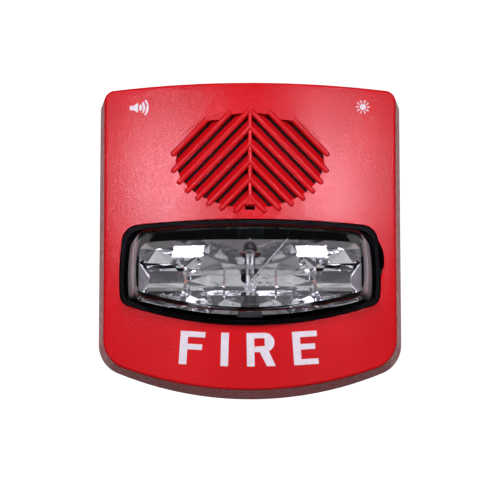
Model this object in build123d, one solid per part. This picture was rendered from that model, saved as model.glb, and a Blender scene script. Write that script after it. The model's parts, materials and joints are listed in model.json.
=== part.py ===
from build123d import *
import os
from math import cos, radians, sqrt, tan

# A wall horn strobe: a red clip-on cover with a louvred horn and a clear strobe lens below it.
# Everything is drawn lying on its back: X to the right, Y up the wall, Z out from the wall.
# stand_up() turns each piece upright, so that the wall is the plane Y = 0 and the front looks to -Y.

# ---- driving dimensions, mm ----
WIDTH = 127.0
HEIGHT = 130.0
FACE_OUT = 40.0          # crown of the cover's face above the wall
LENS_OUT = 57.5          # crown of the lens above the wall
WALL = 2.2               # cover wall thickness
COVER_GAP = 0.6          # cover's rear edge stands this far off the wall
SIDE_DRAFT = 0.121       # how much each side leans in per mm away from the wall
TOP_DRAFT = 0.055
BOTTOM_DRAFT = 0.03
TOP_RADIUS = 640.0
BOTTOM_RADIUS = 146.0
TOP_CORNER = 4.5
BOTTOM_CORNER = 13.0
FACE_ACROSS_RADIUS = 257.0
FACE_UP_RADIUS = 500.0
CROWN_Y = -16.0          # height at which the face stands furthest out
FACE_EDGE = 1.3          # rounding where the face meets the flanks
DRAFT_END = 50.0         # tapered bodies are drawn out to here, then cut by their fronts

WINDOW_Y = -16.2
WINDOW_TOP = 5.6
WINDOW_BOTTOM = -38.0
WINDOW_HALF = 53.2
WINDOW_TOP_LEAN = 1.8     # the sides lean in towards the top
WINDOW_BOTTOM_LEAN = 0.5
WINDOW_TOP_BOW = 2.3
WINDOW_BOTTOM_RADIUS = 150.0
WINDOW_TOP_CORNER = 7.0
WINDOW_BOTTOM_CORNER = 5.0
NOTCH_RADIUS = 14.0
NOTCH_Y = -10.7
NOTCH_OUT = 54.7

HORN_Y = 30.0
HORN_HALF_WIDE = 31.7
HORN_HALF_HIGH = 21.5
LOUVRE_RISE = 7.3        # spacing of the chevrons along the spine
LOUVRE_ANGLE = 46.5
FIRST_CHEVRON = -15.1    # lowest chevron's point on the spine, from the horn's middle
CHEVRONS = 8
RIDGE_RADIUS = 1.15
RIDGE_PROUD = 1.0
RIDGE_FLAT = 1.05        # half width left between two slots
GAP_WIDE = 1.05
SLOT_INSET = 1.5         # the slots stop this far inside the horn's ellipse
BLADE_FALL = 3.0         # how far each blade slopes back from its ridge
GRILLE_THICK = 4.6
SPINE_HALF = 0.8
SLOT_TOPS = {6: 17.1, 5: 20.0}   # the two outer slots end level at these heights
HORN_TOP = 20.6

BOARD_BACK = 9.0
BOARD_FRONT = 10.6
BOARD_INSET = 7.8
BASE_THICK = 3.0
BASE_INSET = WALL + 0.4
GANG_X = 46.0
GANG_Y = 83.3
GANG_HOLE = 2.25
GANG_CLEAR = 4.6
WIRE_HALF = 13.0
WIRE_TOP = -38.2
WIRE_BOTTOM = -46.4

BEZEL_GAP = 0.4
BEZEL_WALL = 1.5
BEZEL_FLOOR = 30.0
BEZEL_SKIN = 2.0
BEZEL_BELOW_FACE = 1.0
CLEAR = 0.1              # working gap between stacked pieces

LENS_INSET = 3.4         # lens edge inside the window's edge, at the bezel's floor
LENS_DRAFT = 0.04
LENS_SIDE_DRAFT = 0.09   # further lean of the lens's sides
LENS_WALL = 1.8
LENS_FLANGE_BACK = 26.4
LENS_FLANGE_FRONT = 27.9
LENS_ACROSS_RADIUS = 175.0
LENS_UP_RADIUS = 62.0
LENS_EDGE = 2.6

REFLECTOR_RIM = 42.0
REFLECTOR_INSET = 7.4    # bowl's rim inside the window's edge
REFLECTOR_SQUEEZE = 1.0  # further in at the sides
REFLECTOR_TOP = WINDOW_TOP - REFLECTOR_INSET
REFLECTOR_BOTTOM = WINDOW_BOTTOM + REFLECTOR_INSET
REFLECTOR_FLANGE_BACK = 24.6
TUBE_OUT = 37.0
TUBE_RADIUS = 1.6
TUBE_Y = (REFLECTOR_TOP + REFLECTOR_BOTTOM) / 2
TUBE_HALF = 11.2
BOOT_RADIUS = 2.6
BOOT_LONG = 3.2
TUBE_NOTCH = 5.6
WIRE_NOTCH_X = 15.4

SOUNDER_RADIUS = 19.5
SOUNDER_FRONT = 26.0
PLATE_RADIUS = 17.5
PLATE_OUT = 19.0

TERMINALS = 4
TERMINAL_PITCH = 7.6
TERMINAL_Y = -51.6
TERMINAL_LIFT = 2.2
CONTACT_OUT = 15.0

os.makedirs("parts", exist_ok=True)


# ---- helpers ----
def box(low, high):
    """A block given by two opposite corners."""
    size = [high[i] - low[i] for i in range(3)]
    middle = [(high[i] + low[i]) / 2 for i in range(3)]
    return Pos(*middle) * Box(*size)


def rod(x, y, low, high, radius):
    """A round bar standing out from the wall."""
    return Pos(x, y, (low + high) / 2) * Cylinder(radius, high - low)


def bar_between(start, end, radius):
    """A round bar from one point to another."""
    run = Vector(*end) - Vector(*start)
    return extrude(Plane(origin=start, z_dir=run) * Circle(radius), run.length)


def lead(points, bend, radius):
    """A bent wire: straight runs joined by arcs of one bend radius."""
    path = FilletPolyline(*points, radius=bend)
    return sweep(Plane(origin=path @ 0, z_dir=path % 0) * Circle(radius), path)


def merge(pieces):
    """All of the given solids as one."""
    whole = pieces[0]
    for piece in pieces[1:]:
        whole = whole + piece
    return whole


def drop(radius, across):
    """How far an arc of this radius falls away at a distance from its crown."""
    return radius - sqrt(radius ** 2 - across ** 2)


# ---- casing shapes ----
def casing_outline(out, inset):
    """The casing's outline at a height above the wall, moved in by inset."""
    half = WIDTH / 2 - SIDE_DRAFT * out - inset
    top = HEIGHT / 2 - TOP_DRAFT * out - inset
    bottom = -HEIGHT / 2 + BOTTOM_DRAFT * out + inset
    top_end = top - drop(TOP_RADIUS, half)
    bottom_end = bottom + drop(BOTTOM_RADIUS - inset, half)
    points = [(-half, top_end), (0, top), (half, top_end), (half, 0), (half, bottom_end),
              (0, bottom), (-half, bottom_end), (-half, 0)]
    sides = [ThreePointArc(points[0], points[1], points[2]), Line(points[2], points[4]),
             ThreePointArc(points[4], points[5], points[6]), Line(points[6], points[0])]
    face = make_face(sides)
    face = fillet([v for v in face.vertices() if v.Y > 0], TOP_CORNER - min(inset, 3) * 0.8)
    face = fillet([v for v in face.vertices() if v.Y < bottom_end + 1 and abs(v.X) > half - 1],
                  BOTTOM_CORNER - inset)
    return Pos(0, 0, out) * face


def tapered_body(low, inset):
    """The casing's flanks as a solid, from a height above the wall to past its face."""
    return loft([casing_outline(low, inset), casing_outline(DRAFT_END, inset)], ruled=True)


def crowned_block(crown, across_radius, up_radius, middle_y):
    """A large block whose front is curved both ways and stands furthest out at middle_y."""
    reach = 80.0 if up_radius > 100.0 else 40.0
    axis_out = crown - across_radius
    fall = drop(up_radius, reach)
    profile = make_face([
        ThreePointArc((0, middle_y - reach, crown - fall), (0, middle_y, crown),
                      (0, middle_y + reach, crown - fall)),
        Line((0, middle_y + reach, crown - fall), (0, middle_y + reach, axis_out)),
        Line((0, middle_y + reach, axis_out), (0, middle_y - reach, axis_out)),
        Line((0, middle_y - reach, axis_out), (0, middle_y - reach, crown - fall))])
    axis = Axis((0, 0, axis_out), (0, 1, 0))
    return revolve(profile.rotate(axis, -60), axis, 120)


def face_block(below):
    """Everything behind the cover's face, or behind a face set back by below."""
    return crowned_block(FACE_OUT - below, FACE_ACROSS_RADIUS - below, FACE_UP_RADIUS - below, CROWN_Y)


def face_out(x, y):
    """How far the cover's face stands out at a place on it."""
    ring = FACE_ACROSS_RADIUS - drop(FACE_UP_RADIUS, y - CROWN_Y)
    return FACE_OUT - FACE_ACROSS_RADIUS + sqrt(ring ** 2 - x ** 2)


def window_outline(inset, squeeze=0.0):
    """The strobe window moved in by inset, and its sides by squeeze more.

    It is bowed on top and arched along the bottom like the casing."""
    half = WINDOW_HALF - inset - squeeze
    top = WINDOW_TOP - inset
    bottom = WINDOW_BOTTOM + inset
    top_x = half - WINDOW_TOP_LEAN
    low_x = half - WINDOW_BOTTOM_LEAN
    top_end = top - WINDOW_TOP_BOW
    low_end = bottom + drop(WINDOW_BOTTOM_RADIUS - inset, low_x)
    mid_y = 0.4 * top_end + 0.6 * low_end
    face = make_face([
        ThreePointArc((-top_x, top_end), (0, top), (top_x, top_end)),
        ThreePointArc((top_x, top_end), (half, mid_y), (low_x, low_end)),
        ThreePointArc((low_x, low_end), (0, bottom), (-low_x, low_end)),
        ThreePointArc((-low_x, low_end), (-half, mid_y), (-top_x, top_end))])
    face = fillet([v for v in face.vertices() if v.Y > mid_y], WINDOW_TOP_CORNER - 0.3 * inset)
    return fillet([v for v in face.vertices() if v.Y < low_end + 0.01], WINDOW_BOTTOM_CORNER - 0.3 * inset)


def window_prism(inset, low, high):
    """The window's shape, moved in by inset, between two heights above the wall."""
    return Pos(0, 0, low) * extrude(window_outline(inset), high - low)


def lens_outline(out, inset):
    """The lens's outline at a height above the wall, moved in by inset."""
    rise = out - BEZEL_FLOOR
    return Pos(0, 0, out) * window_outline(LENS_INSET + LENS_DRAFT * rise + inset, LENS_SIDE_DRAFT * rise)


# ---- the cover ----
def horn_ellipse(grow, low, high):
    """An upright elliptical plug around the horn."""
    shape = Ellipse(HORN_HALF_WIDE + grow, HORN_HALF_HIGH + grow)
    return Pos(0, HORN_Y, low) * extrude(shape, high - low)


def chevron_point(index):
    """Height of a chevron's point on the spine, above the horn's middle."""
    return FIRST_CHEVRON + index * LOUVRE_RISE


def ridge_end(index):
    """Where a chevron's arm meets the horn's ellipse, as x and height above the horn's middle."""
    slope = tan(radians(LOUVRE_ANGLE))
    point = chevron_point(index)
    a = 1 / HORN_HALF_WIDE ** 2 + slope ** 2 / HORN_HALF_HIGH ** 2
    b = -2 * slope * point / HORN_HALF_HIGH ** 2
    c = point ** 2 / HORN_HALF_HIGH ** 2 - 1
    x = (-b + sqrt(b ** 2 - 4 * a * c)) / (2 * a)
    return x, point - slope * x


def on_face(x, rise, lift):
    """A point over the horn's grille, lifted off the cover's face."""
    return x, HORN_Y + rise, face_out(x, HORN_Y + rise) + lift


def louvre_slot(index):
    """The cut between one chevron arm and the next one above it, on the right of the spine."""
    end_x, end_rise = ridge_end(index)
    slope = tan(radians(LOUVRE_ANGLE))
    start_x = max(0.0, (chevron_point(index) - HORN_HALF_HIGH) / slope)
    start = Vector(*on_face(start_x, chevron_point(index) - slope * start_x, 0))
    end = Vector(*on_face(end_x, end_rise, 0))
    run = end - start
    outward = Vector(0, 0, 1)
    up = outward.cross(run).normalized()
    normal = run.cross(up).normalized()
    pitch = LOUVRE_RISE * cos(radians(LOUVRE_ANGLE))
    section = Plane(origin=start - run.normalized() * 12, x_dir=up, z_dir=run)
    side = 1 if section.y_dir.dot(normal) > 0 else -1
    far = pitch - RIDGE_FLAT
    blade_foot = far - GAP_WIDE
    corners = [(RIDGE_FLAT, 3), (RIDGE_FLAT, -0.6), (blade_foot, -BLADE_FALL), (blade_foot, -9), (far, -9),
               (far, 3)]
    shape = make_face(Polyline(*[(v, side * n) for v, n in corners], close=True))
    cut = extrude(section * shape, run.length + 24)
    top = SLOT_TOPS.get(index, HORN_TOP)
    keep = box((SPINE_HALF, HORN_Y - 40, 20), (60, HORN_Y + top, 60))
    return cut & keep & horn_ellipse(-SLOT_INSET, 20, 60)


def ridge(index):
    """One chevron arm's proud rounded ridge, with a ball nose at its outer end."""
    end_x, end_rise = ridge_end(index)
    slope = tan(radians(LOUVRE_ANGLE))
    limit = SLOT_TOPS.get(index - 1, HORN_TOP) + 0.3
    start_x = max(0.0, (chevron_point(index) - limit) / slope)
    lift = RIDGE_PROUD - RIDGE_RADIUS
    start = on_face(start_x, chevron_point(index) - slope * start_x, lift)
    end = on_face(end_x, end_rise, lift)
    return bar_between(start, end, RIDGE_RADIUS) + Pos(*end) * Sphere(RIDGE_RADIUS)


def both_sides(solid):
    """A solid and its mirror image across the middle."""
    return solid + mirror(solid, Plane.YZ)


def louvre_parts():
    """The grille's slots as one cutter, and its ridges and spine as one addition."""
    cuts = merge([both_sides(louvre_slot(i)) for i in range(CHEVRONS - 1)])
    lift = RIDGE_PROUD - RIDGE_RADIUS
    spine = bar_between(on_face(0, FIRST_CHEVRON, lift), on_face(0, HORN_TOP, lift), SPINE_HALF)
    web = Pos(0, HORN_Y + FIRST_CHEVRON - 2.4, 0) * extrude(Triangle(a=6.0, b=4.6, c=4.6), 60)
    web = web & (face_block(0.2 - RIDGE_PROUD) - face_block(2))
    added = merge([both_sides(ridge(i)) for i in range(CHEVRONS)] + [spine, web])
    return cuts, added


def horn_edge_line():
    """A fine engraved line that completes the ellipse past the outermost ridges."""
    band = horn_ellipse(0.0, 20, 60) - horn_ellipse(-0.35, 20, 60)
    reach = box((7, HORN_Y + 8, 20), (HORN_HALF_WIDE, HORN_Y + HORN_HALF_HIGH, 60))
    return both_sides(band & reach) & (face_block(-1) - face_block(0.3))


def front_cover():
    outer = tapered_body(COVER_GAP, 0) & face_block(0)
    rim = outer.faces().sort_by(Axis.Z)[-1].outer_wire().edges()
    outer = fillet(rim, FACE_EDGE)
    inner = tapered_body(COVER_GAP - 1, WALL) & face_block(WALL)
    shell = outer - inner
    thicker = horn_ellipse(1.6, 20, 60) & (face_block(0.2) - face_block(GRILLE_THICK))
    cuts, ridges = louvre_parts()
    drain = box((-2, HORN_Y - 20.7, 20), (2, HORN_Y - 19.0, 60))
    shell = shell + thicker - cuts - drain - horn_edge_line() + ridges
    window = window_prism(0, 20, 60)
    notch = rod(NOTCH_OUT - NOTCH_RADIUS, NOTCH_Y, 20, 60, NOTCH_RADIUS) & box((45, -50, 10), (60, 20, 70))
    return shell - window - notch


def grille_screen():
    """Dust screen stuck to the back of the horn's grille."""
    layer = face_block(GRILLE_THICK) - face_block(GRILLE_THICK + 0.5)
    return horn_ellipse(0.8, 10, 60) & layer


# ---- chassis and board ----
def at_gang_holes(radius, low, high):
    """Four bars on the wall box's screw centres."""
    return merge([rod(sx * GANG_X / 2, sy * GANG_Y / 2, low, high, radius) for sx in (-1, 1) for sy in (-1, 1)])


BOARD_SCREWS = [(-50, 50), (50, 50), (-50, -43), (50, -43)]
SHELL_SCREWS = [(-48.3, 0.9), (48.3, 0.9), (-46.5, -26.4), (46.5, -26.4)]
REFLECTOR_SCREWS = [(-30, WINDOW_Y), (30, WINDOW_Y)]
SOUNDER_SCREWS = [(-12, HORN_Y), (12, HORN_Y)]
FINGER_Y = (30, -26)
FINGER_OUTER = 57.7
FINGER_THICK = 1.6
FINGER_TALL = 16.0


def snap_finger(side, y):
    """A springy finger with a hooked nose that holds the cover's side."""
    inner = FINGER_OUTER - FINGER_THICK
    stem = box((inner, y - 5, BASE_THICK - 0.5), (FINGER_OUTER, y + 5, FINGER_TALL))
    corners = [(FINGER_OUTER - 0.5, FINGER_TALL - 4), (FINGER_OUTER, FINGER_TALL - 4),
               (FINGER_OUTER + 1.1, FINGER_TALL - 2.6), (FINGER_OUTER + 1.1, FINGER_TALL - 2.0),
               (FINGER_OUTER - 0.5, FINGER_TALL)]
    across = Plane(origin=(0, y, 0), x_dir=(1, 0, 0), z_dir=(0, -1, 0))
    nose = extrude(across * make_face(Polyline(*corners, close=True)), 5, both=True)
    finger = stem + nose
    return finger if side > 0 else mirror(finger, Plane.YZ)


def base_plate():
    plate = extrude(casing_outline(0, BASE_INSET), BASE_THICK)
    rim_outer = extrude(casing_outline(0, BASE_INSET + 1.2), 6)
    rim_inner = extrude(casing_outline(0, BASE_INSET + 2.6), 8)
    body = plate + (rim_outer - rim_inner)
    for x, y in BOARD_SCREWS:
        body = body + rod(x, y, BASE_THICK - 0.5, BOARD_BACK, 3.6) - rod(x, y, 4, 12, 1.3)
    for x in (-1, 1):
        for y in FINGER_Y:
            body = body + snap_finger(x, y)
    body = body + rod(0, 52, BASE_THICK - 0.5, BOARD_BACK, 3.0)
    body = body + at_gang_holes(GANG_HOLE + 2.2, BASE_THICK - 0.5, 4.4) - at_gang_holes(GANG_HOLE, -1, 8)
    return body - box((-WIRE_HALF, WIRE_BOTTOM, -1), (WIRE_HALF, WIRE_TOP, 8))


def circuit_board():
    board = Pos(0, 0, BOARD_BACK) * extrude(casing_outline(0, BOARD_INSET), BOARD_FRONT - BOARD_BACK)
    board = board - at_gang_holes(GANG_CLEAR, 5, 15)
    for x, y in BOARD_SCREWS:
        board = board - rod(x, y, 5, 15, 1.6)
    for x, y in SHELL_SCREWS + REFLECTOR_SCREWS + SOUNDER_SCREWS:
        board = board - rod(x, y, 5, 15, 1.4)
    return board - box((-WIRE_HALF - 0.5, WIRE_BOTTOM - 0.3, 5), (WIRE_HALF + 0.5, WIRE_TOP + 0.3, 15))


def pan_screw(x, y, under_head, tip, head_radius, shank_radius, way):
    """A cross-recessed pan-head screw; way is 1 with its head outward, -1 with it to the wall."""
    thick = 1.7
    head = rod(x, y, min(under_head, under_head + way * thick), max(under_head, under_head + way * thick),
               head_radius)
    head = fillet(head.edges().sort_by(Axis.Z)[-1 if way > 0 else 0], 0.9)
    shank = rod(x, y, min(under_head, tip), max(under_head, tip), shank_radius)
    top = under_head + way * thick
    cross = [Pos(x, y, top) * Box(2.6, 0.55, 1.6), Pos(x, y, top) * Box(0.55, 2.6, 1.6)]
    return head + shank - merge(cross)


def screw_set(places, under_head, tip, head_radius, shank_radius, way):
    return Compound([pan_screw(x, y, under_head, tip, head_radius, shank_radius, way) for x, y in places])


# ---- strobe ----
def strobe_housing():
    """Black trough round the lens: open behind for the reflector, with a floor the lens stands on."""
    back = BOARD_FRONT + CLEAR
    walls = window_prism(BEZEL_GAP, back, DRAFT_END) & face_block(BEZEL_BELOW_FACE)
    front = window_prism(BEZEL_GAP + BEZEL_WALL, BEZEL_FLOOR, DRAFT_END + 5)
    rear = window_prism(BEZEL_GAP + BEZEL_WALL, back - 1, BEZEL_FLOOR - BEZEL_SKIN)
    hole = window_prism(LENS_INSET - 0.6, BEZEL_FLOOR - 5, BEZEL_FLOOR + 5)
    bosses = merge([rod(x, y, back, 20, 2.9) for x, y in SHELL_SCREWS])
    body = walls - front - rear - hole + (bosses & window_prism(BEZEL_GAP + 0.5, back, DRAFT_END))
    for x, y in SHELL_SCREWS:
        body = body - rod(x, y, back - 1, 17.5, 1.1)
    return body


def flange_plate(low, high):
    """The rim that lens and reflector share inside the housing, notched past the screw bosses."""
    plate = window_prism(BEZEL_GAP + BEZEL_WALL + 0.3, low, high)
    for x, y in SHELL_SCREWS:
        plate = plate - rod(x, y, low - 1, high + 1, 3.3)
    return plate


def lens_solid(inset):
    """The lens's body as a full solid, moved in by inset."""
    low = LENS_FLANGE_BACK - (0.5 if inset > 0 else 0)
    body = loft([lens_outline(low, inset), lens_outline(70, inset)], ruled=True)
    return body & crowned_block(LENS_OUT - inset, LENS_ACROSS_RADIUS - inset, LENS_UP_RADIUS - inset, WINDOW_Y)


def strobe_lens():
    outer = lens_solid(0)
    rim = outer.faces().sort_by(Axis.Z)[-1].outer_wire().edges()
    outer = fillet(rim, LENS_EDGE)
    flange = flange_plate(LENS_FLANGE_BACK, LENS_FLANGE_FRONT)
    return outer + flange - lens_solid(LENS_WALL)


def panel_at(half_wide, low_y, high_y, out):
    """A level rectangle across the middle, for lofting the bowl."""
    return Pos(0, (low_y + high_y) / 2, out) * Rectangle(2 * half_wide, high_y - low_y)


def strobe_reflector():
    """Bright bowl behind the tube with a ribbed wing on each side."""
    rim = window_outline(REFLECTOR_INSET, REFLECTOR_SQUEEZE)
    body = loft([Pos(0, 0, LENS_FLANGE_BACK - 0.2) * window_outline(REFLECTOR_INSET - 1.2),
                 Pos(0, 0, REFLECTOR_RIM) * rim], ruled=True)
    lip = 2.0
    bowl = loft([panel_at(21.5, REFLECTOR_BOTTOM + lip + 1, REFLECTOR_TOP - lip, REFLECTOR_RIM + 0.01),
                 panel_at(4.5, WINDOW_Y - 5, WINDOW_Y + 5, 28.4)], ruled=True)
    body = body - bowl
    flange = flange_plate(REFLECTOR_FLANGE_BACK, LENS_FLANGE_BACK - CLEAR)
    body = body + flange
    for side in (-1, 1):
        near, far = sorted((side * 25.0, side * 48.0))
        wing = window_prism(REFLECTOR_INSET + lip, 36.5, 50) & box((near, -50, 30), (far, 20, 60))
        rib = Pos(side * 35, WINDOW_Y + 0.4, 37) * Rot(0, 90, 0) * Cylinder(5.0, 24)
        core = window_prism(REFLECTOR_INSET + lip, 20, 35) & box((near, -50, 15), (far, 20, 60))
        body = body - wing + (rib & wing) - core
    for x, y in REFLECTOR_SCREWS:
        body = body + rod(x, y, BOARD_FRONT + CLEAR, 35.5, 2.8) - rod(x, y, 5, 18, 1.1)
    for edge, side in ((REFLECTOR_TOP, 1), (REFLECTOR_BOTTOM, -1)):
        outer = edge + side * 6
        inner = edge - side * 1.0
        deep = edge - side * 6.4
        body = body - box((-TUBE_NOTCH, min(inner, outer), 20), (TUBE_NOTCH, max(inner, outer), 50))
        body = body - box((-3.4, min(deep, inner), 32.6), (3.4, max(deep, inner), 50))
    slot_low = REFLECTOR_TOP - 2.0
    body = body - box((WIRE_NOTCH_X - 1.0, slot_low, 20), (WIRE_NOTCH_X + 1.0, slot_low + 8, 50))
    return body - box((WIRE_NOTCH_X - 3.5, slot_low - 2.5, 39), (WIRE_NOTCH_X + 1.0, slot_low + 1, 50))


def flash_tube():
    return Pos(0, TUBE_Y, TUBE_OUT) * Rot(90, 0, 0) * Cylinder(TUBE_RADIUS, 2 * TUBE_HALF)


def tube_boots():
    """Silicone boots over both ends of the tube."""
    boots = []
    for side in (-1, 1):
        middle = TUBE_Y + side * TUBE_HALF
        boot = Pos(0, middle, TUBE_OUT) * Rot(90, 0, 0) * Cylinder(BOOT_RADIUS, BOOT_LONG)
        boots.append(boot - flash_tube())
    return Compound(boots)


def tube_leads():
    """Stiff leads from the tube's ends, back through the reflector's notches to the board."""
    leads = []
    for side in (-1, 1):
        end = TUBE_Y + side * (TUBE_HALF + BOOT_LONG / 2)
        out = end + side * 1.6
        leads.append(lead([(0, end, TUBE_OUT), (0, out, TUBE_OUT), (0, out, BOARD_FRONT)], 1.0, 0.35))
    return Compound(leads)


def trigger_wire():
    """Bare wire from the tube's middle up over the reflector's rim and back to the board."""
    top = REFLECTOR_TOP - 1.0
    return lead([(0.5, TUBE_Y - 3.5, TUBE_OUT + TUBE_RADIUS + 0.4), (WIRE_NOTCH_X, top, 41.0),
                 (WIRE_NOTCH_X, top, BOARD_FRONT)], 0.9, 0.3)


# ---- horn sounder ----
def sounder_housing():
    back = BOARD_FRONT + CLEAR
    cup = rod(0, HORN_Y, back, SOUNDER_FRONT, SOUNDER_RADIUS) - rod(0, HORN_Y, back + 1.6, 40, 16.0)
    cup = cup - rod(0, HORN_Y, PLATE_OUT - 0.8, 40, PLATE_RADIUS + 0.4)
    for x, y in SOUNDER_SCREWS:
        cup = cup + rod(x, y, back + 1, back + 5, 2.4) - rod(x, y, back - 1, back + 3.5, 1.1)
    return cup


def sounder_cap():
    """Front of the horn's chamber, with the ring of holes that tunes it."""
    cap = rod(0, HORN_Y, SOUNDER_FRONT + CLEAR, SOUNDER_FRONT + 2, SOUNDER_RADIUS)
    cap = cap + rod(0, HORN_Y, SOUNDER_FRONT - 1.5, SOUNDER_FRONT + 1, PLATE_RADIUS + 0.2)
    cap = cap - rod(0, HORN_Y, 10, SOUNDER_FRONT + 0.6, PLATE_RADIUS - 1.2)
    for spot in PolarLocations(9, 6):
        cap = cap - Pos(0, HORN_Y, SOUNDER_FRONT) * spot * Cylinder(1.7, 12)
    return cap - rod(0, HORN_Y, 10, 40, 3)


def sounder_plate():
    return rod(0, HORN_Y, PLATE_OUT, PLATE_OUT + 0.35, PLATE_RADIUS)


def piezo_disc():
    return rod(0, HORN_Y, PLATE_OUT - 0.3, PLATE_OUT, 12.5)


def sounder_ring():
    """Soft ring that carries the plate's edge."""
    ring = rod(0, HORN_Y, PLATE_OUT + 0.75, PLATE_OUT + 2.2, PLATE_RADIUS + 0.3)
    return ring - rod(0, HORN_Y, 10, 40, PLATE_RADIUS - 1.6)


def sounder_leads():
    """Two insulated leads from the sounder's side to the board."""
    leads = []
    for x in (-4, 4):
        y = HORN_Y - sqrt(SOUNDER_RADIUS ** 2 - 16) - 0.25
        leads.append(lead([(x, y, 17), (x, y - 2.6, 17), (x, y - 2.6, BOARD_FRONT)], 1.6, 0.55))
    return Compound(leads)


# ---- terminals, switches and jumper ----
def terminal_x(index):
    return (index - (TERMINALS - 1) / 2) * TERMINAL_PITCH


def terminal_block():
    """Four one-pole modules side by side, each open in front and towards the wires."""
    modules = []
    half = TERMINAL_PITCH / 2 - 0.03
    for i in range(TERMINALS):
        x = terminal_x(i)
        body = box((x - half, TERMINAL_Y - 4.2, BOARD_FRONT), (x + half, TERMINAL_Y + 4.2, 19.4))
        body = body - box((x - 3.15, TERMINAL_Y - 3.3, CONTACT_OUT - 1.2), (x + 3.15, TERMINAL_Y + 9, 30))
        well = box((x - 2.0, TERMINAL_Y - 2.0, BOARD_FRONT + 0.4), (x + 2.0, TERMINAL_Y + 2.0, 30))
        modules.append(body - well)
    return Compound(modules)


def terminal_contacts():
    """Plated contact plates under the clamps."""
    plates = []
    for i in range(TERMINALS):
        x = terminal_x(i)
        plate = box((x - 3.0, TERMINAL_Y - 3.2, CONTACT_OUT - 1.2), (x + 3.0, TERMINAL_Y + 4.2, CONTACT_OUT))
        plates.append(plate - rod(x, TERMINAL_Y, 5, 30, 1.55))
    return Compound(plates)


def clamp_plate(index):
    x = terminal_x(index)
    low = CONTACT_OUT + 0.05
    plate = box((x - 2.45, TERMINAL_Y - 2.6, low), (x + 2.45, TERMINAL_Y + 2.6, low + 0.9))
    return plate - rod(x, TERMINAL_Y, 5, 30, 1.55)


def terminal_screw(index):
    under = CONTACT_OUT + 0.97
    return pan_screw(terminal_x(index), TERMINAL_Y, under, BOARD_FRONT + 1.2, 2.4, 1.5, 1)


def volume_header():
    """Black pin header with two square posts."""
    body = box((-42.6, -51.3, BOARD_FRONT), (-37.4, -48.7, BOARD_FRONT + 2.5))
    for x in (-41.27, -38.73):
        body = body + box((x - 0.3, -50.3, BOARD_FRONT + 2), (x + 0.3, -49.7, BOARD_FRONT + 8.5))
    return body


def volume_jumper():
    low = BOARD_FRONT + 2.6
    body = box((-42.5, -51.2, low), (-37.5, -48.8, low + 7.5))
    body = body + box((-41.2, -50.4, low + 7), (-38.8, -49.6, low + 10.5))
    for x in (-41.27, -38.73):
        body = body - box((x - 0.38, -50.38, low - 1), (x + 0.38, -49.62, low + 6.4))
    return body


SELECTOR_TRAVEL = 7.5
SELECTOR_HALF = 1.4
SELECTOR_TIP = 25.6


def candela_switch():
    """Body of the slide switch that sets the flash's brightness."""
    body = box((53.2, NOTCH_Y - 7, BOARD_FRONT), (55.5, NOTCH_Y + 7, 16))
    low_y = NOTCH_Y - SELECTOR_TRAVEL / 2 - SELECTOR_HALF - 0.2
    return body - box((53.5, low_y, 12.5), (55.2, 2 * NOTCH_Y - low_y, 20))


def candela_selector():
    """Sliding flag whose tip stands behind the notch beside the lens."""
    y = NOTCH_Y - SELECTOR_TRAVEL / 2
    foot = box((53.6, y - SELECTOR_HALF, 12.6), (55.1, y + SELECTOR_HALF, 18))
    return foot + box((53.6, y - SELECTOR_HALF, 17), (54.7, y + SELECTOR_HALF, SELECTOR_TIP))


# ---- board components ----
def flash_capacitor():
    body = Pos(41, 29, 19) * Rot(90, 0, 0) * Cylinder(8, 30)
    groove = Pos(41, 41, 19) * Rot(90, 0, 0) * (Cylinder(9, 1.2) - Cylinder(7.4, 1.2))
    return body - groove


def capacitor_strap():
    """Strap over the flash capacitor, through the board on both sides."""
    band = Cylinder(9.0, 4) - Cylinder(8.05, 6)
    strap = Pos(41, 24, 19) * Rot(90, 0, 0) * band
    legs = [box((32.0, 22, BOARD_FRONT), (32.95, 26, 19)), box((49.05, 22, BOARD_FRONT), (50.0, 26, 19))]
    upper = strap & box((30, 20, 19), (52, 28, 40))
    return upper + legs[0] + legs[1]


def trigger_transformer():
    core = box((10.5, -22, BOARD_FRONT), (21.5, -10.5, 20))
    return core - box((9, -19.5, 12.5), (23, -13, 30)) + box((11.5, -21, 12.5), (20.5, -11.5, 18.5))


def boost_inductor():
    drum = rod(-36, 20, BOARD_FRONT, BOARD_FRONT + 1.4, 7) + rod(-36, 20, BOARD_FRONT + 1, BOARD_FRONT + 11, 4)
    return drum + rod(-36, 20, BOARD_FRONT + 10, BOARD_FRONT + 11.4, 7)


def inductor_winding():
    ring = rod(-36, 20, BOARD_FRONT + 1.5, BOARD_FRONT + 9.9, 6.3) - rod(-36, 20, 5, 40, 4.05)
    return ring


def microcontroller():
    body = box((-44, 33, BOARD_FRONT), (-34, 43, BOARD_FRONT + 1.5))
    for i in range(8):
        x = -43.0 + i * 8 / 7
        body = body + box((x - 0.2, 31.8, BOARD_FRONT), (x + 0.2, 44.2, BOARD_FRONT + 0.5))
    return body


def film_capacitor():
    return fillet(box((-50, 5.5, BOARD_FRONT), (-38, 10.5, BOARD_FRONT + 9)).edges().filter_by(Axis.Z), 1)


def power_transistors():
    bodies = []
    for x, y in ((-50.0, 24.0), (-50.0, 34.0)):
        body = box((x - 3.2, y - 3, BOARD_FRONT), (x + 3.2, y + 3, BOARD_FRONT + 2.3))
        bodies.append(body + box((x - 2.7, y + 2.5, BOARD_FRONT), (x + 2.7, y + 4.4, BOARD_FRONT + 0.8)))
    return Compound(bodies)


def diodes():
    bodies = []
    for y in (4.0, 7.5, 11.0):
        bodies.append(Pos(30, y + 3.5, BOARD_FRONT + 1.4) * Rot(0, 90, 0) * Cylinder(1.35, 5.2)
                      + Pos(30, y + 3.5, BOARD_FRONT + 1.4) * Rot(0, 90, 0) * Cylinder(0.4, 9))
    return Compound(bodies)


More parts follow.
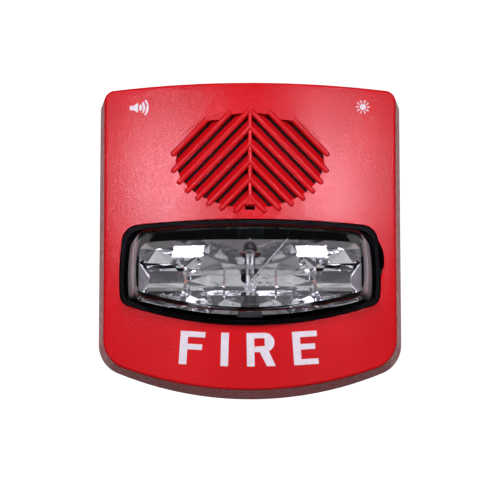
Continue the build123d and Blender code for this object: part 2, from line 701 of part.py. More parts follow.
def resistors():
    bodies = []
    for i in range(6):
        x = -28.0 - 3.4 * i
        bodies.append(box((x - 0.8, 52.6, BOARD_FRONT), (x + 0.8, 55.8, BOARD_FRONT + 0.7)))
    return Compound(bodies)


def line_choke():
    """Round choke beside the terminals that keeps flash noise off the wires."""
    ring = rod(38, -48.5, BOARD_FRONT, BOARD_FRONT + 6, 5.5) - rod(38, -48.5, 5, 40, 2.2)
    return fillet(ring.edges().filter_by(GeomType.CIRCLE), 0.9)


# ---- the whole object ----
def build_nodes():
    nodes = {
        "front_cover": front_cover(),
        "grille_screen": grille_screen(),
        "base_plate": base_plate(),
        "circuit_board": circuit_board(),
        "board_screws": screw_set(BOARD_SCREWS, BOARD_FRONT, 5.0, 2.8, 1.3, 1),
        "housing_screws": screw_set(SHELL_SCREWS, BOARD_BACK, 17.0, 2.3, 1.1, -1),
        "reflector_screws": screw_set(REFLECTOR_SCREWS, BOARD_BACK, 17.0, 2.3, 1.1, -1),
        "sounder_screws": screw_set(SOUNDER_SCREWS, BOARD_BACK, 13.5, 2.3, 1.1, -1),
        "strobe_housing": strobe_housing(),
        "strobe_lens": strobe_lens(),
        "strobe_reflector": strobe_reflector(),
        "flash_tube": flash_tube(),
        "tube_boots": tube_boots(),
        "tube_leads": tube_leads(),
        "trigger_wire": trigger_wire(),
        "trigger_transformer": trigger_transformer(),
        "sounder_housing": sounder_housing(),
        "sounder_cap": sounder_cap(),
        "sounder_plate": sounder_plate(),
        "piezo_disc": piezo_disc(),
        "sounder_ring": sounder_ring(),
        "sounder_leads": sounder_leads(),
        "terminal_block": terminal_block(),
        "terminal_contacts": terminal_contacts(),
        "volume_header": volume_header(),
        "volume_jumper": volume_jumper(),
        "candela_switch": candela_switch(),
        "candela_selector": candela_selector(),
        "flash_capacitor": flash_capacitor(),
        "capacitor_strap": capacitor_strap(),
        "boost_inductor": boost_inductor(),
        "inductor_winding": inductor_winding(),
        "microcontroller": microcontroller(),
        "film_capacitor": film_capacitor(),
        "power_transistors": power_transistors(),
        "diodes": diodes(),
        "resistors": resistors(),
        "line_choke": line_choke(),
    }
    for i in range(TERMINALS):
        nodes[f"clamp_plate_{i + 1}"] = clamp_plate(i)
        nodes[f"terminal_screw_{i + 1}"] = terminal_screw(i)
    return nodes


def stand_up(solid):
    """Turn a piece from lying on its back to hanging on the wall."""
    return Rot(90, 0, 0) * solid


for name, solid in build_nodes().items():
    export_step(stand_up(solid), f"parts/{name}.step")
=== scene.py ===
import json
import math

import bmesh
import bpy
from mathutils import Matrix, Vector, geometry


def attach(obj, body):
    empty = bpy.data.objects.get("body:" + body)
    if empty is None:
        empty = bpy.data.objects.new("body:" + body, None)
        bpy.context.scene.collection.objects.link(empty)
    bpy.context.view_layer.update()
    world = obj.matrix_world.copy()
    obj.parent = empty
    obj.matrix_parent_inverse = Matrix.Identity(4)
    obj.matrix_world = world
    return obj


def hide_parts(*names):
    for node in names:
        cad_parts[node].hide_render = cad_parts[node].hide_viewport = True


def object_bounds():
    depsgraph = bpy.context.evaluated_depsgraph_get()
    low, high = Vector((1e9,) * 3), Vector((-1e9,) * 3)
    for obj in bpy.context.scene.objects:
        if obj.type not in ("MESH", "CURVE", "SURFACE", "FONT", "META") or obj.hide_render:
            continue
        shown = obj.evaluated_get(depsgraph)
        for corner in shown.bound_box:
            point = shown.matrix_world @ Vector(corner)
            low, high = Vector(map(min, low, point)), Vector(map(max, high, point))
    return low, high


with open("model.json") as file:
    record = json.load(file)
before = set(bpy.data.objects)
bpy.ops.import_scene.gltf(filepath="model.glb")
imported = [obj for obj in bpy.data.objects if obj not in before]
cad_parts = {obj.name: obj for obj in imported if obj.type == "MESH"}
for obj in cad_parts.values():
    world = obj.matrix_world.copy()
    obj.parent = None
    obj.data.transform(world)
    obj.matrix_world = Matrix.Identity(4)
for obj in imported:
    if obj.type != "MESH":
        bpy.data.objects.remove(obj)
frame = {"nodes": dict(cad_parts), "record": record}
cad_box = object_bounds()
NODES = frame["nodes"]
MM = 0.001


# ---------------------------------------------------------------- small helpers
def point(x, up, out):
    """A place on the object in mm: right, up the wall, out from the wall."""
    return Vector((x * MM, -out * MM, up * MM))


def new_object(name, mesh):
    thing = bpy.data.objects.new(name, mesh)
    bpy.context.scene.collection.objects.link(thing)
    return thing


def mesh_piece(name, verts, faces, smooth=False):
    """An object from corner points and faces."""
    mesh = bpy.data.meshes.new(name)
    mesh.from_pydata(verts, [], faces)
    mesh.update()
    for face in mesh.polygons:
        face.use_smooth = smooth
    return new_object(name, mesh)


def apply_modifiers(thing):
    """Bake an object's modifiers into its mesh."""
    graph = bpy.context.evaluated_depsgraph_get()
    mesh = bpy.data.meshes.new_from_object(thing.evaluated_get(graph))
    thing.modifiers.clear()
    thing.data = mesh


def paint(thing, material):
    thing.data.materials.clear()
    thing.data.materials.append(material)


# ---------------------------------------------------------------- materials
class Surface:
    """A node-based Principled material, built up step by step."""

    def __init__(self, name):
        self.material = bpy.data.materials.new(name)
        self.material.use_nodes = True
        self.tree = self.material.node_tree
        self.shader = self.tree.nodes["Principled BSDF"]
        self.place = self.tree.nodes.new("ShaderNodeTexCoord").outputs["Object"]
        self.height = None

    def set(self, **values):
        for key, value in values.items():
            self.shader.inputs[key.replace("_", " ")].default_value = value
        return self

    def node(self, kind, **settings):
        made = self.tree.nodes.new("ShaderNode" + kind)
        for key, value in settings.items():
            setattr(made, key, value)
        return made

    def link(self, source, target):
        self.tree.links.new(source, target)

    def scaled_place(self, stretch):
        """Object coordinates stretched along each axis."""
        mapping = self.node("Mapping")
        mapping.inputs["Scale"].default_value = stretch
        self.link(self.place, mapping.inputs["Vector"])
        return mapping.outputs["Vector"]

    def noise(self, scale, detail=3.0, roughness=0.5, stretch=None):
        made = self.node("TexNoise")
        made.inputs["Scale"].default_value = scale
        made.inputs["Detail"].default_value = detail
        made.inputs["Roughness"].default_value = roughness
        self.link(self.scaled_place(stretch) if stretch else self.place, made.inputs["Vector"])
        return made.outputs["Fac"]

    def cells(self, scale, feature="F1"):
        made = self.node("TexVoronoi", feature=feature)
        made.inputs["Scale"].default_value = scale
        self.link(self.place, made.inputs["Vector"])
        return made.outputs["Distance"]

    def wave(self, scale, direction="X", distortion=0.0):
        made = self.node("TexWave", bands_direction=direction)
        made.inputs["Scale"].default_value = scale
        made.inputs["Distortion"].default_value = distortion
        self.link(self.place, made.inputs["Vector"])
        return made.outputs["Fac"]

    def spread(self, source, low, high, start=0.3, stop=0.7):
        """Map a 0 to 1 pattern onto a range of values."""
        made = self.node("MapRange")
        for key, value in (("From Min", start), ("From Max", stop), ("To Min", low), ("To Max", high)):
            made.inputs[key].default_value = value
        self.link(source, made.inputs["Value"])
        return made.outputs["Result"]

    def math(self, operation, first, second=None):
        """A Math node fed by sockets or plain numbers."""
        made = self.node("Math", operation=operation)
        for value, target in zip((first, second), made.inputs):
            if isinstance(value, float):
                target.default_value = value
            elif value is not None:
                self.link(value, target)
        return made.outputs[0]

    def split(self, vector):
        """The X, Y and Z of a vector, one by one."""
        made = self.node("SeparateXYZ")
        self.link(vector, made.inputs["Vector"])
        return made.outputs

    def axes(self):
        """The separate object coordinates."""
        return self.split(self.place)

    def normal(self):
        """The separate directions of the surface."""
        return self.split(self.node("NewGeometry").outputs["Normal"])

    def colours(self, source, stops):
        """Colour by a pattern; stops are (position, colour)."""
        ramp = self.node("ValToRGB")
        while len(ramp.color_ramp.elements) < len(stops):
            ramp.color_ramp.elements.new(0.5)
        for element, (position, colour) in zip(ramp.color_ramp.elements, stops):
            element.position = position
            element.color = (*colour, 1.0)
        self.link(source, ramp.inputs["Fac"])
        self.link(ramp.outputs["Color"], self.shader.inputs["Base Color"])
        return self

    def roughness(self, source, low, high):
        self.link(self.spread(source, low, high), self.shader.inputs["Roughness"])
        return self

    def bump(self, source, depth_mm, strength=1.0):
        """Add relief of a real depth, on top of any relief already there."""
        made = self.node("Bump")
        made.inputs["Distance"].default_value = depth_mm * MM
        made.inputs["Strength"].default_value = strength
        self.link(source, made.inputs["Height"])
        if self.height is not None:
            self.link(self.height, made.inputs["Normal"])
        self.height = made.outputs["Normal"]
        self.link(self.height, self.shader.inputs["Normal"])
        return self


def shade(colour, factor):
    return tuple(min(1.0, channel * factor) for channel in colour)


def grained(name, colour, rough, grain_mm, depth_mm, metal=0.0, spread=0.12, stretch=None):
    """A general moulded or rolled finish: mottled colour, uneven gloss and a fine grain."""
    made = Surface(name)
    made.set(Metallic=metal)
    blotch = made.noise(60.0, 4.0)
    made.colours(blotch, [(0.3, shade(colour, 1 - spread)), (0.7, shade(colour, 1 + spread))])
    made.roughness(made.noise(220.0, 5.0), rough * 0.85, rough * 1.2)
    made.bump(made.noise(1.0 / (grain_mm * MM), 2.0, stretch=stretch), depth_mm)
    return made


RED = (0.48, 0.004, 0.007)


def cover_red():
    """Moulded red plastic with a fine pebble grain and uneven gloss, nearly matt on its sides."""
    made = Surface("cover_red")
    facing = made.math("ABSOLUTE", made.normal()["Y"])
    made.link(made.spread(facing, 0.03, 0.2, 0.35, 0.8), made.shader.inputs["Specular IOR Level"])
    made.colours(made.noise(38.0, 5.0), [(0.3, shade(RED, 0.93)), (0.7, shade(RED, 1.07))])
    made.roughness(made.noise(420.0, 4.0), 0.15, 0.24)
    made.bump(made.cells(2100.0, "SMOOTH_F1"), 0.075, 0.9)
    made.bump(made.noise(1500.0, 1.0), 0.04, 0.8)
    return made.material


def chassis_red():
    made = grained("chassis_red", (0.42, 0.012, 0.016), 0.45, 0.4, 0.02)
    return made.material


def trim_black():
    # Black trim of its own, made near total black as painted shade for the deep recess round the lens.
    made = grained("trim_black", (0.003, 0.003, 0.004), 0.5, 0.35, 0.015, spread=0.3)
    made.set(Specular_IOR_Level=0.04)
    return made.material


def lens_clear():
    """Clear polycarbonate with a faint moulding ripple and finely frosted end walls."""
    made = Surface("lens_clear")
    made.set(Base_Color=(0.985, 0.99, 1.0, 1), IOR=1.3)
    sideways = made.math("ABSOLUTE", made.normal()["X"])
    made.link(made.spread(sideways, 0.015, 0.34, 0.55, 0.9), made.shader.inputs["Roughness"])
    made.link(made.spread(sideways, 1.0, 0.72, 0.55, 0.9), made.shader.inputs["Transmission Weight"])
    made.bump(made.noise(45.0, 2.0), 0.03, 0.25)
    return made.material


def reflector_bright():
    """Vacuum-metallised plastic: mirror bright with faint ripples and a little haze."""
    made = Surface("reflector_bright")
    made.set(Metallic=1.0)
    made.colours(made.noise(90.0, 4.0), [(0.3, (0.80, 0.80, 0.83)), (0.7, (0.93, 0.93, 0.95))])
    made.roughness(made.noise(500.0, 4.0), 0.03, 0.11)
    made.bump(made.noise(150.0, 3.0), 0.18, 0.5)
    return made.material


def tube_glass():
    made = Surface("tube_glass")
    made.set(Base_Color=(0.97, 0.98, 1.0, 1), IOR=1.3, Transmission_Weight=0.85)
    made.roughness(made.noise(300.0), 0.1, 0.3)
    made.bump(made.noise(200.0), 0.03, 0.4)
    return made.material


def boot_silicone():
    made = grained("boot_silicone", (0.03, 0.03, 0.032), 0.5, 0.5, 0.02)
    made.set(Sheen_Weight=0.15, Sheen_Roughness=0.5)
    return made.material


def board_green():
    """Solder mask over copper tracks that show as slightly raised paler lines."""
    made = Surface("board_green")
    brick = made.node("TexBrick", offset=0.37)
    brick.inputs["Scale"].default_value = 1.0
    brick.inputs["Mortar Size"].default_value = 0.0005
    brick.inputs["Mortar Smooth"].default_value = 0.2
    brick.inputs["Brick Width"].default_value = 0.0115
    brick.inputs["Row Height"].default_value = 0.0034
    turned = made.node("Mapping")
    turned.inputs["Rotation"].default_value = (math.radians(90), 0, 0)
    made.link(made.place, turned.inputs["Vector"])
    made.link(turned.outputs["Vector"], brick.inputs["Vector"])
    made.colours(brick.outputs["Fac"], [(0.2, (0.008, 0.10, 0.045)), (0.8, (0.03, 0.22, 0.09))])
    made.roughness(made.noise(200.0), 0.22, 0.34)
    made.bump(brick.outputs["Fac"], 0.05, 0.8)
    return made.material


def screen_black():
    """Woven dust screen, dark of its own and made darker still as painted shade for the deep grille gaps.
    """
    made = Surface("screen_black")
    made.set(Roughness=0.9)
    across = made.wave(900.0, "X")
    upright = made.wave(900.0, "Z")
    weave = made.math("MULTIPLY", across, upright)
    # Near-black weave: partly the screen's own dark colour, partly painted shade for the grille gaps.
    made.colours(weave, [(0.1, (0.001, 0.001, 0.001)), (0.9, (0.007, 0.007, 0.008))])
    made.bump(weave, 0.15)
    return made.material


def print_white():
    """Screen-printed white ink, a little uneven at this scale."""
    made = Surface("print_white")
    made.colours(made.noise(600.0, 4.0), [(0.3, (0.53, 0.53, 0.53)), (0.7, (0.62, 0.62, 0.62))])
    made.roughness(made.noise(900.0), 0.4, 0.55)
    made.bump(made.cells(1150.0, "SMOOTH_F1"), 0.03, 0.5)
    return made.material


def winding_copper():
    made = Surface("winding_copper")
    made.set(Metallic=0.9)
    made.colours(made.noise(300.0), [(0.3, (0.42, 0.13, 0.04)), (0.7, (0.62, 0.22, 0.07))])
    made.roughness(made.noise(500.0), 0.22, 0.36)
    made.bump(made.noise(900.0), 0.01)
    return made.material


def plate_brass():
    made = grained("plate_brass", (0.75, 0.52, 0.20), 0.28, 0.25, 0.012, metal=1.0, stretch=(1, 1, 9))
    return made.material


def sleeve_dark():
    """Shrink sleeve with a paler stripe down one side."""
    made = Surface("sleeve_dark")
    stripe = made.spread(made.wave(18.0, "X"), 0.0, 1.0, 0.90, 0.93)
    made.colours(stripe, [(0.3, (0.010, 0.014, 0.035)), (0.7, (0.45, 0.47, 0.50))])
    made.roughness(made.noise(260.0), 0.18, 0.3)
    made.bump(made.noise(180.0, 4.0), 0.05, 0.6)
    return made.material


def brushed(name, colour, rough):
    """Plated steel or tinned wire with fine drawn lines."""
    return grained(name, colour, rough, 0.3, 0.015, metal=1.0, spread=0.08, stretch=(1, 8, 1)).material


MATERIALS = {
    "cover_red": cover_red(),
    "screen_black": screen_black(),
    "chassis_red": chassis_red(),
    "board_green": board_green(),
    "screw_zinc": brushed("screw_zinc", (0.70, 0.71, 0.72), 0.28),
    "trim_black": trim_black(),
    "lens_clear": lens_clear(),
    "reflector_bright": reflector_bright(),
    "tube_glass": tube_glass(),
    "boot_silicone": boot_silicone(),
    "wire_tinned": brushed("wire_tinned", (0.86, 0.87, 0.88), 0.16),
    "lead_insulated": grained("lead_insulated", (0.55, 0.02, 0.02), 0.4, 0.3, 0.01).material,
    "plate_brass": plate_brass(),
    "ceramic_white": grained("ceramic_white", (0.80, 0.79, 0.74), 0.3, 0.4, 0.01).material,
    "ring_rubber": grained("ring_rubber", (0.02, 0.02, 0.02), 0.7, 0.4, 0.03).material,
    "terminal_grey": grained("terminal_grey", (0.05, 0.05, 0.055), 0.42, 0.35, 0.02).material,
    "selector_white": grained("selector_white", (0.80, 0.80, 0.77), 0.4, 0.35, 0.015).material,
    "sleeve_dark": sleeve_dark(),
    "strap_nylon": grained("strap_nylon", (0.78, 0.77, 0.70), 0.4, 0.3, 0.02).material,
    "ferrite_grey": grained("ferrite_grey", (0.06, 0.06, 0.065), 0.55, 0.25, 0.04, spread=0.3).material,
    "winding_copper": winding_copper(),
    "chip_black": grained("chip_black", (0.018, 0.018, 0.02), 0.5, 0.2, 0.02, spread=0.3).material,
    "film_yellow": grained("film_yellow", (0.65, 0.36, 0.03), 0.25, 0.6, 0.03).material,
}
for entry in frame["record"]["subparts"]:
    paint(NODES[entry["node"]], MATERIALS[entry["material_slot"]])


# ---------------------------------------------------------------- strobe reflector
RIM = 40.5
SHELL_BACK = 26.3
TUBE_OUT = 37.0
WING_UP = -19.0
WING_HALF = 6.7
WING_CROWN = 38.6
WING_EDGE = 33.6

# Right half of the reflector as creases. Each point is right of the middle, up the wall and out from it,
# in mm.
RIM_EDGE = [(0, -3.2, RIM), (9.5, -3.2, RIM), (19.0, -3.3, RIM), (30.0, -3.6, RIM), (38.5, -4.1, RIM),
            (42.4, -4.9, RIM), (44.3, -6.9, RIM), (44.9, -10.0, RIM), (45.0, -12.0, 37.0),
            (45.1, -26.0, 37.0), (43.6, -28.3, RIM), (34.7, -30.4, RIM), (25.4, -31.4, RIM),
            (16.4, -31.9, RIM), (6.4, -32.3, RIM), (0, -32.4, RIM)]
CREASES = [
    [(19.0, -3.3, RIM), (23.6, -5.8, 37.6), (28.0, -6.3, 37.6), (38.0, -7.0, 37.6), (38.5, -4.1, RIM)],
    [(23.6, -5.8, 37.6), (14.4, -9.3, 33.8), (4.9, -12.4, 31.2), (0, -12.9, 30.8)],
    [(38.0, -7.0, 37.6), (38.4, -12.6, 34.6), (45.0, -12.0, 37.0)],
    [(38.4, -12.6, 34.6), (31.6, -13.7, 33.0), (27.8, -15.2, 31.2)],
    [(28.0, -6.3, 37.6), (29.4, -9.9, 33.4), (30.1, -13.0, 32.4)],
    [(26.0, -7.2, 36.4), (21.7, -9.5, 32.0), (20.9, -14.1, 31.4)],
    [(23.6, -5.8, 37.6), (26.0, -7.2, 36.4), (29.4, -9.9, 33.4)],
    [(18.8, -8.6, 34.4), (12.2, -11.4, 32.2), (10.6, -13.4, 30.6), (20.9, -14.1, 31.4),
     (18.8, -8.6, 34.4)],
    [(10.2, -26.8, 35.0), (2.6, -29.2, 37.0), (0, -29.4, 37.4)],
    [(10.2, -26.8, 35.0), (16.4, -31.9, RIM)],
    [(10.2, -26.8, 35.0), (6.4, -32.3, RIM), (2.6, -29.2, 37.0)],
    [(20.5, -26.9, 34.6), (16.4, -31.9, RIM)],
    [(27.8, -29.0, 36.0), (20.5, -26.9, 34.6)],
    [(27.8, -29.0, 36.0), (25.4, -31.4, RIM)],
    [(27.8, -29.0, 36.0), (34.7, -30.4, RIM)],
    [(34.3, -26.6, 33.2), (34.7, -30.4, RIM)],
    [(34.3, -26.6, 33.2), (45.1, -26.0, 37.0)],
    [(27.8, -29.0, 36.0), (27.8, -25.8, 32.6), (34.3, -26.6, 33.2)],
]


def trough_rows():
    """The folded trough behind the tube, as level creases from its set-back middle outwards."""
    rows = []
    for up, out in ((-14.1, 31.2), (-16.4, 29.6), (-20.6, 29.0), (-22.6, 30.4), (-25.2, 34.2)):
        rows.append([(0, up, out - 1.2), (4.2, up, out - 1.0), (10.2, up, out - 1.0), (10.9, up, out),
                     (17.4, up, out + 0.3), (24.2, up, out)])
    return rows


def wing_rows():
    """The half-round rib in each wing, with its rounded inner end."""
    rows = []
    for i in range(13):
        turn = math.radians(-90 + 15 * i)
        up = WING_UP + WING_HALF * math.sin(turn)
        crown = WING_EDGE + (WING_CROWN - WING_EDGE) * math.cos(turn)
        start = 28.0 - 3.4 * math.cos(turn)
        rise = crown - WING_EDGE
        outs = (WING_EDGE - 1.4, WING_EDGE + 0.45 * rise, WING_EDGE + 0.88 * rise, crown, crown)
        rows.append([(start + step, up, out) for step, out in zip((0, 0.9, 2.1, 4.2, 16.0), outs)])
    return rows


def reflector_front():
    """Faceted front of the reflector: corner points in mm and triangles."""
    corners, heights, edges = [], [], []
    index = {}
    for crease in [RIM_EDGE] + CREASES + trough_rows() + wing_rows():
        for side in (-1, 1):
            previous = None
            for x, up, out in crease:
                key = (round(side * x, 2), round(up, 2))
                if key not in index:
                    index[key] = len(corners)
                    corners.append(Vector(key))
                    heights.append(out)
                if previous is not None and previous != index[key]:
                    edges.append((previous, index[key]))
                previous = index[key]
    verts, _, faces, origins, _, _ = geometry.delaunay_2d_cdt(corners, edges, [], 1, 1e-5)
    points = []
    for place, origin in zip(verts, origins):
        out = heights[origin[0]] if origin else RIM - 4
        points.append((place.x, place.y, out))
    return points, faces


def plug(name, centre, radius, length, spin):
    """A round bar used to cut openings, removed once it has been used."""
    made = bmesh.new()
    bmesh.ops.create_cone(made, cap_ends=True, segments=48, radius1=radius * MM, radius2=radius * MM,
                          depth=length * MM, matrix=Matrix.Translation(point(*centre)) @ spin)
    mesh = bpy.data.meshes.new(name)
    made.to_mesh(mesh)
    made.free()
    return new_object(name, mesh)


def cut(thing, tool):
    """Take a closed tool out of a closed piece."""
    step = thing.modifiers.new("cut", "BOOLEAN")
    step.operation = "DIFFERENCE"
    step.solver = "EXACT"
    step.object = tool
    apply_modifiers(thing)
    bpy.data.objects.remove(tool)


def add_flange(thing):
    """Add the flange and screw bosses behind the bright front, cut from the CAD shape; the flange is
    black as painted shade for the deep gap round the reflector, its real finish being bright.
    """
    made = bmesh.new()
    made.from_mesh(NODES["strobe_reflector"].data)
    geometry_in = made.verts[:] + made.edges[:] + made.faces[:]
    bmesh.ops.bisect_plane(made, geom=geometry_in, plane_co=point(0, 0, SHELL_BACK), plane_no=(0, -1, 0),
                           clear_outer=True)
    bmesh.ops.edgeloop_fill(made, edges=[e for e in made.edges if e.is_boundary])
    # Painted shade: the flange faces take the black trim (second slot) in place of the bright finish.
    for face in made.faces:
        face.material_index = 1
    made.from_mesh(thing.data)
    made.to_mesh(thing.data)
    made.free()


def reflector():
    """Bright faceted reflector with a ribbed wing each side, in place of its plain CAD shape."""
    points, faces = reflector_front()
    made = bmesh.new()
    rows = [made.verts.new(point(*corner)) for corner in points]
    for face in faces:
        made.faces.new([rows[i] for i in face])
    edge = [e for e in made.edges if e.is_boundary]
    back = bmesh.ops.extrude_edge_only(made, edges=edge)
    for vert in [v for v in back["geom"] if isinstance(v, bmesh.types.BMVert)]:
        vert.co.y = -SHELL_BACK * MM
    bmesh.ops.edgeloop_fill(made, edges=[e for e in made.edges if e.is_boundary])
    bmesh.ops.recalc_face_normals(made, faces=made.faces[:])
    mesh = bpy.data.meshes.new("reflector_facets")
    made.to_mesh(mesh)
    made.free()
    thing = new_object("reflector_facets", mesh)
    upright = Matrix.Identity(4)
    outward = Matrix.Rotation(math.radians(90), 4, "X")
    cut(thing, plug("top_tunnel", (0, -3.0, TUBE_OUT), 2.75, 9.0, upright))
    cut(thing, plug("wire_eye", (-1.8, -17.4, 32.0), 1.9, 12.0, outward))
    cut(thing, plug("bottom_notch", (0, -32.4, 40.0), 5.0, 16.0, outward))
    soften = thing.modifiers.new("edges", "BEVEL")
    soften.width = 0.1 * MM
    soften.limit_method = "ANGLE"
    soften.angle_limit = math.radians(12)
    soften.segments = 1
    apply_modifiers(thing)
    add_flange(thing)
    paint(thing, MATERIALS["reflector_bright"])
    # Second slot: black trim on the flange as painted shade.
    thing.data.materials.append(MATERIALS["trim_black"])
    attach(thing, "base")
    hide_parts("strobe_reflector")


# ---------------------------------------------------------------- print on the cover
COVER = NODES["front_cover"]
PRINT_LIFT = 0.00012
PRINT = print_white()


def face_y(x, up):
    """Where the cover's face is, straight in front of a place on the wall, in metres."""
    hit, place, _, _ = COVER.ray_cast(Vector((x, -0.2, up)), Vector((0, 1, 0)))
    return place.y if hit else cad_box[0][1]


def printed(name, shapes):
    """A thin raised print that follows the face. Each shape is a list of corner points in mm."""
    made = bmesh.new()
    for corners in shapes:
        rows = [made.verts.new((x * MM, 0, up * MM)) for x, up in corners]
        made.faces.new(rows)
    bmesh.ops.triangulate(made, faces=made.faces[:])
    bmesh.ops.subdivide_edges(made, edges=made.edges[:], cuts=2, use_grid_fill=True)
    bmesh.ops.recalc_face_normals(made, faces=made.faces[:])
    for vert in made.verts:
        vert.co.y = face_y(vert.co.x, vert.co.z) - PRINT_LIFT
    mesh = bpy.data.meshes.new(name)
    made.to_mesh(mesh)
    made.free()
    thing = new_object(name, mesh)
    backing = thing.modifiers.new("thickness", "SOLIDIFY")
    backing.thickness = PRINT_LIFT * 1.5
    backing.offset = 0
    apply_modifiers(thing)
    paint(thing, PRINT)
    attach(thing, "cover")
    return thing


LETTER_HIGH = 13.4
STEM = 3.1
ARM = 2.25
WORD_ARC = 340.0
WORD_BASE = -54.4
WORD_MIDDLE = -0.8


def letter_shapes(letter, wide):
    """Plain block strokes of one letter, from its lower left corner."""
    top = LETTER_HIGH
    middle = LETTER_HIGH * 0.54
    stem = [(0, 0), (STEM, 0), (STEM, top), (0, top)]
    bar_top = [(STEM, top - ARM), (wide, top - ARM), (wide, top), (STEM, top)]
    short = wide * 0.9
    bar_middle = [(STEM, middle - ARM / 2), (short, middle - ARM / 2), (short, middle + ARM / 2),
                  (STEM, middle + ARM / 2)]
    bar_low = [(STEM, 0), (wide, 0), (wide, ARM), (STEM, ARM)]
    if letter == "I":
        return [stem]
    if letter == "F":
        return [stem, bar_top, bar_middle]
    if letter == "E":
        return [stem, bar_top, bar_middle, bar_low]
    low = middle - ARM / 2 - 0.4
    centre_up = (top + low) / 2
    outer = (top - low) / 2
    inner = outer - ARM * 0.95
    turn = wide - outer - 0.4
    steps = 12
    angles = [math.pi * i / steps for i in range(1, steps)]
    bowl = [(STEM, top), (turn, top)]
    bowl += [(turn + outer * math.sin(a), centre_up + outer * math.cos(a)) for a in angles]
    bowl += [(turn, low), (STEM, low), (STEM, centre_up - inner), (turn, centre_up - inner)]
    bowl += [(turn + inner * math.sin(a), centre_up - inner * math.cos(a)) for a in angles]
    bowl += [(turn, centre_up + inner), (STEM, centre_up + inner)]
    leg = [(wide - STEM - 0.5, 0), (wide, 0), (turn + 1.6, low + 0.2), (turn - 2.2, low + 0.2)]
    return [stem, bowl, leg]


# Each letter with its width and where its middle stands across the cover, in mm.
LETTERS = [("F", 10.0, -23.8), ("I", STEM, -10.4), ("R", 11.6, 4.6), ("E", 10.0, 22.8)]


def fire_word():
    """The generic word for what the alarm warns of, in plain block strokes along the arched edge."""
    shapes = []
    for letter, wide, middle in LETTERS:
        turn = (middle - WORD_MIDDLE) / WORD_ARC
        spin = Matrix.Rotation(turn, 2)
        foot = Vector((middle, WORD_BASE + WORD_ARC * (1 - math.cos(turn))))
        for corners in letter_shapes(letter, wide):
            shapes.append([tuple(foot + spin @ Vector((x - wide / 2, up))) for x, up in corners])
    return printed("fire_print", shapes)


def arc_band(centre, radius, thick, start, stop, steps=8):
    """A curved stroke as one outline; angles in degrees."""
    angles = [math.radians(start + (stop - start) * i / steps) for i in range(steps + 1)]
    outer = [(centre[0] + radius * math.cos(a), centre[1] + radius * math.sin(a)) for a in angles]
    inner = [(centre[0] + (radius - thick) * math.cos(a), centre[1] + (radius - thick) * math.sin(a))
             for a in reversed(angles)]
    return outer + inner


def sound_mark():
    """Generic loudspeaker with waves."""
    x, up = -46.5, 53.0
    shapes = [[(x - 3.0, up - 0.9), (x - 1.6, up - 0.9), (x - 1.6, up + 0.9), (x - 3.0, up + 0.9)],
              [(x - 1.5, up - 0.9), (x + 0.4, up - 2.1), (x + 0.4, up + 2.1), (x - 1.5, up + 0.9)]]
    for radius in (2.2, 3.6, 5.0):
        shapes.append(arc_band((x - 0.2, up), radius, 0.62, -42, 42))
    return printed("sound_mark", shapes)


def flash_mark():
    """Generic flashing lamp: a disc with rays."""
    x, up = 46.5, 53.4
    shapes = [arc_band((x, up), 1.25, 1.24, 0, 359, 20)]
    for i in range(10):
        angle = math.radians(36 * i)
        along = Vector((math.cos(angle), math.sin(angle)))
        side = Vector((-along.y, along.x)) * 0.24
        near = Vector((x, up)) + along * 1.75
        far = Vector((x, up)) + along * 2.9
        shapes.append([tuple(near - side), tuple(far - side), tuple(far + side), tuple(near + side)])
    return printed("flash_mark", shapes)


# ---------------------------------------------------------------- studio
LIGHT_AWAY = 1.5
LIGHT_COLOUR = (0.96, 0.84, 1.0)
LIGHT_SPREAD = 30
KEY_SIDE = 18.5
KEY_UP = 18.0
KEY_SIZE = 0.23
CARD_AWAY = 1.9
CARD_WHITE = (0.95, 0.95, 1.0)
CARD_BROWN = (0.42, 0.17, 0.09)


def studio_sweep():
    """Plain pale floor, evenly lit in front, curving up into a backdrop that glows behind the object."""
    floor_up, back_y, bend, half, front_y = -0.45, 2.4, 0.8, 3.5, -3.0
    steps = 12
    profile = [(front_y, floor_up)]
    profile += [(back_y - bend + bend * math.sin(math.pi / 2 * i / steps),
                 floor_up + bend - bend * math.cos(math.pi / 2 * i / steps)) for i in range(steps + 1)]
    profile.append((back_y, 3.0))
    verts = [Vector((x, y, z)) for y, z in profile for x in (-half, half)]
    faces = [(2 * i, 2 * i + 1, 2 * i + 3, 2 * i + 2) for i in range(len(profile) - 1)]
    sweep = mesh_piece("studio_sweep", verts, faces, smooth=True)
    made = Surface("studio_white")
    made.colours(made.noise(2.0), [(0.3, (0.60, 0.60, 0.60)), (0.7, (0.63, 0.63, 0.63))])
    made.set(Roughness=0.9, Emission_Color=(1, 1, 1, 1))
    axes = made.axes()
    sideways = made.spread(made.math("ABSOLUTE", axes["X"]), 1.0, 0.0, 0.42, 0.60)
    backdrop = made.math("MULTIPLY", made.spread(axes["Z"], 0.0, 1.0, -0.12, -0.02), sideways)
    floor = made.spread(axes["Y"], 0.45, 0.0, -0.9, -0.3)
    made.link(made.math("ADD", backdrop, floor), made.shader.inputs["Emission Strength"])
    paint(sweep, made.material)


def face_object(thing, azimuth, elevation, distance):
    """Place something by its direction from the object, facing it; azimuth 0 is in front."""
    azimuth, elevation = math.radians(azimuth), math.radians(elevation)
    direction = Vector((math.sin(azimuth) * math.cos(elevation), -math.cos(azimuth) * math.cos(elevation),
                        math.sin(elevation)))
    thing.location = direction * distance
    thing.rotation_euler = (-direction).to_track_quat("-Z", "Y").to_euler()


def softbox(name, azimuth, elevation, size, power):
    """A soft square light."""
    light = bpy.data.lights.new(name, "AREA")
    light.size = size
    light.energy = power
    light.color = LIGHT_COLOUR
    light.spread = math.radians(LIGHT_SPREAD)
    face_object(new_object(name, light), azimuth, elevation, LIGHT_AWAY)


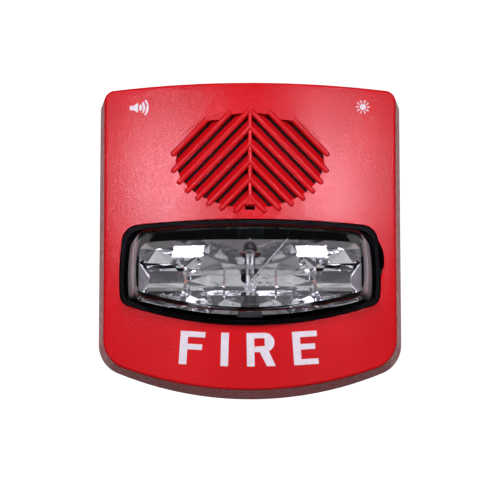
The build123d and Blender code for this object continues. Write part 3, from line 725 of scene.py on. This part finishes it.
def card(name, azimuth, elevation, wide, high, colour, glow):
    """A plain glowing board for the bright parts to mirror."""
    corners = [(x * wide / 2, y * high / 2, 0) for x, y in ((-1, -1), (1, -1), (1, 1), (-1, 1))]
    board = mesh_piece(name, [Vector(corner) for corner in corners], [(0, 1, 2, 3)])
    made = Surface(name)
    made.colours(made.noise(4.0), [(0.3, shade(colour, 0.95)), (0.7, colour)])
    made.set(Roughness=0.9, Emission_Color=(*colour, 1), Emission_Strength=glow)
    paint(board, made.material)
    face_object(board, azimuth, elevation, CARD_AWAY)


def studio_cards():
    """White and warm boards around the front, with darker gaps between them."""
    card("card_top", 0, 50, 1.3, 0.32, CARD_WHITE, 1.7)
    for side in (-1, 1):
        card("card_high", side * 38, 26, 0.40, 0.75, CARD_WHITE, 1.6)
        card("card_side", side * 68, 8, 0.36, 1.1, CARD_BROWN, 1.2)
        card("card_low", side * 17, -7, 0.42, 0.20, CARD_WHITE, 1.6)
        card("card_warm", side * 47, 56, 0.55, 0.40, CARD_BROWN, 0.9)


def room_light():
    """Plain soft grey room."""
    world = bpy.data.worlds.new("room")
    bpy.context.scene.world = world
    world.use_nodes = True
    background = world.node_tree.nodes["Background"]
    background.inputs["Color"].default_value = (0.92, 0.94, 1.0, 1)
    background.inputs["Strength"].default_value = 0.10


CAMERA_ELEVATION = -8.0
CAMERA_AWAY = 1.0
VIEW_WIDE = 0.211
AIM_UP = 0.0028


def camera():
    made = bpy.data.cameras.new("camera")
    thing = new_object("camera", made)
    elevation = math.radians(CAMERA_ELEVATION)
    aim = Vector((0, 0, AIM_UP))
    thing.location = aim + Vector((0, -math.cos(elevation), math.sin(elevation))) * CAMERA_AWAY
    thing.rotation_euler = (aim - thing.location).to_track_quat("-Z", "Y").to_euler()
    made.lens = made.sensor_width * CAMERA_AWAY / VIEW_WIDE
    bpy.context.scene.camera = thing


reflector()
fire_word()
sound_mark()
flash_mark()
studio_sweep()
room_light()
studio_cards()
softbox("key_left", -KEY_SIDE, KEY_UP, KEY_SIZE, 0.39)
softbox("key_right", KEY_SIDE, KEY_UP, KEY_SIZE, 0.36)
camera()
bpy.context.scene.view_settings.view_transform = "Standard"
